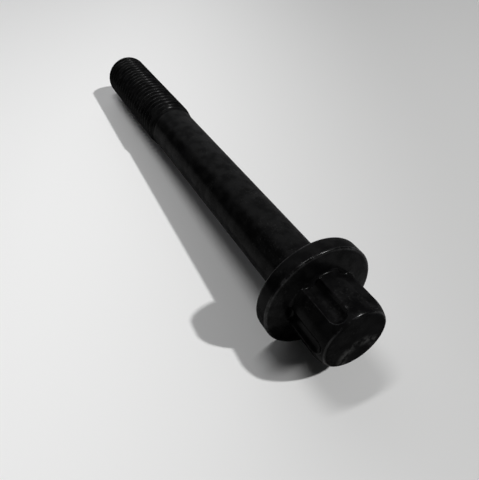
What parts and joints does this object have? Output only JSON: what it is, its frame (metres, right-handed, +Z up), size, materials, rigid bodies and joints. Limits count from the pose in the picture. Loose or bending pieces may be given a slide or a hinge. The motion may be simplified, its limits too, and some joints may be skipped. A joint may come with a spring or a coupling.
{
  "type": "cylinder head bolt",
  "caption": "Long flange bolt with an external six-lobe drive head, plain shank and threaded end, lying as it rests, for clamping an engine's cylinder head to its block.",
  "frame": {"origin": "on the surface that the bolt lies on, below the middle of its bounding box", "axes": "+X along the bolt from its head to its threaded tip, +Z up; the bolt lies on the rim of its flange and the end of its thread, so its own axis slopes down towards +X by 2.61 degrees"},
  "size_m": [0.1156, 0.0212, 0.0213],
  "materials": {
    "black_steel": "satin"
  },
  "bodies": {
    "root": {"cylinder_head_bolt": "black_steel"}
  },
  "joints": []
}
